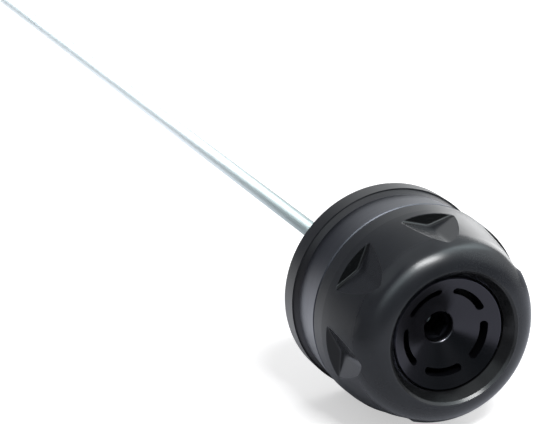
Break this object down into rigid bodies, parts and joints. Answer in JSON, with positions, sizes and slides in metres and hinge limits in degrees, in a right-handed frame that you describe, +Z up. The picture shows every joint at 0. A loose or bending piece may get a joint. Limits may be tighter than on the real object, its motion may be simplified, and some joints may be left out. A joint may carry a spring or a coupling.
{
  "type": "axle protector",
  "caption": "Motorbike axle protector: a round nylon slider pad with milled pockets, an aluminium collar and seat ring, and a slotted clamp cap on a long threaded rod.",
  "frame": {"origin": "centre of the rear seat face, on the wheel axle's axis", "axes": "+Z up, +Y along the axle's axis from the seat face down the rod, the pad's nose towards -Y"},
  "size_m": [0.071, 0.5546, 0.071],
  "materials": {
    "pad_plastic": "turned, satin on the nose and fine-grained on the taper",
    "seat_plastic": "satin, turned",
    "collar_aluminium": "black anodised, satin",
    "cap_aluminium": "blue-black anodised, fine turned lines",
    "plain_aluminium": "as turned",
    "zinc_steel": "bright zinc plated",
    "ring_rubber": "moulded, matte"
  },
  "bodies": {
    "root": {"slider_pad": "pad_plastic", "clamp_cap": "cap_aluminium", "cap_o_ring": "ring_rubber", "core_sleeve": "plain_aluminium", "collar": "collar_aluminium", "seat_ring": "seat_plastic", "clamp_washer": "zinc_steel", "clamp_nut": "zinc_steel", "axle_bush": "seat_plastic", "bush_o_ring_1": "ring_rubber", "bush_o_ring_2": "ring_rubber", "threaded_rod": "zinc_steel"}
  },
  "joints": []
}
